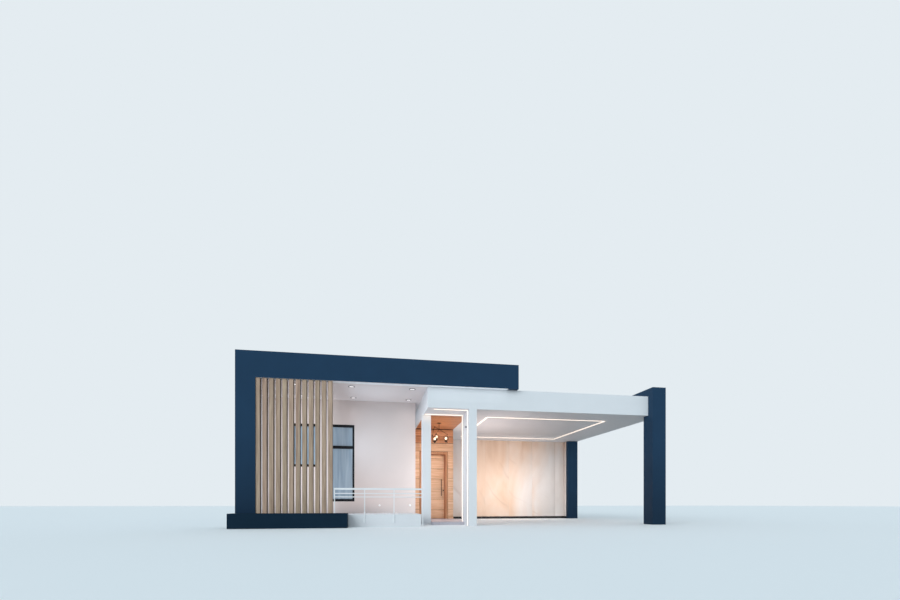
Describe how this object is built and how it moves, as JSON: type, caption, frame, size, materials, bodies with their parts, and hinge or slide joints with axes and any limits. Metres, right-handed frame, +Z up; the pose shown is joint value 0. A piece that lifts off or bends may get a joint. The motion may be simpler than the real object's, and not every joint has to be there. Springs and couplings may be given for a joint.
{
  "type": "bungalow",
  "caption": "Single-storey flat-roofed house with a navy portal frame, slatted porch, timber entry with a swinging front door, and an open carport.",
  "frame": {"origin": "middle of the house's bounding box, at ground level", "axes": "+X to the right along the front, +Y from the front to the rear, +Z up"},
  "size_m": [11.465, 10.2, 4.29],
  "materials": {
    "white_render": "smooth painted render",
    "navy_render": "smooth painted render, matt",
    "roof_concrete": "screed with a pale membrane",
    "grey_floor": "honed stone tiles",
    "soil": "bare garden soil",
    "slat_timber": "weathered boards, oiled",
    "entry_timber": "honey timber boards, satin",
    "frame_timber": "darker timber, satin",
    "black_metal": "powder coated, satin",
    "white_metal": "powder coated, satin",
    "steel": "brushed",
    "bronze": "dark bronze",
    "window_glass": "clear blue-grey glass",
    "globe_glass": "frosted, lit from inside",
    "light_cover": "opal light cover, lit",
    "marble": "polished warm marble",
    "dark_stone": "dark polished stone"
  },
  "bodies": {
    "house": {"planter_box": "navy_render", "planter_soil": "soil", "porch_plinth": "white_render", "frame_pier": "navy_render", "frame_band": "navy_render", "timber_slats": "slat_timber", "porch_railing": "white_metal", "left_wall": "white_render", "front_wall": "white_render", "window_frames": "black_metal", "window_glass": "window_glass", "porch_downlights": "light_cover", "low_wall_lights": "light_cover", "high_roof_slab": "roof_concrete", "roof_parapets": "white_render", "roof_step_wall": "white_render", "recess_side_wall": "white_render", "door_wall_left": "white_render", "door_wall_right": "white_render", "door_wall_over": "white_render", "timber_cladding": "entry_timber", "door_frame": "frame_timber", "door_hinge_pins": "steel", "entry_floor": "grey_floor", "timber_ceiling": "entry_timber", "pendant_lamp": "bronze", "lamp_globes": "globe_glass", "portal_left_post": "white_render", "portal_right_post": "white_render", "portal_side_fascia": "white_render", "portal_front_fascia": "white_render", "plaster_soffit": "white_render", "led_strips": "light_cover", "low_roof_slab": "roof_concrete", "carport_columns": "navy_render", "carport_side_beam": "navy_render", "carport_back_wall": "white_render", "marble_cladding": "marble", "marble_skirting": "dark_stone", "carport_side_wall": "white_render", "wing_side_wall": "white_render", "rear_wall": "white_render", "interior_floor": "grey_floor"},
    "door": {"front_door": "entry_timber", "door_handles": "bronze", "door_hinge_knuckles": "steel"}
  },
  "joints": [
    {"name": "front_door_swing", "type": "hinge", "parent": "house", "child": "door", "pos_m": [-0.7645, -1.002, 1.168], "axis": [0, 0, 1], "range_deg": [0, 90]}
  ]
}
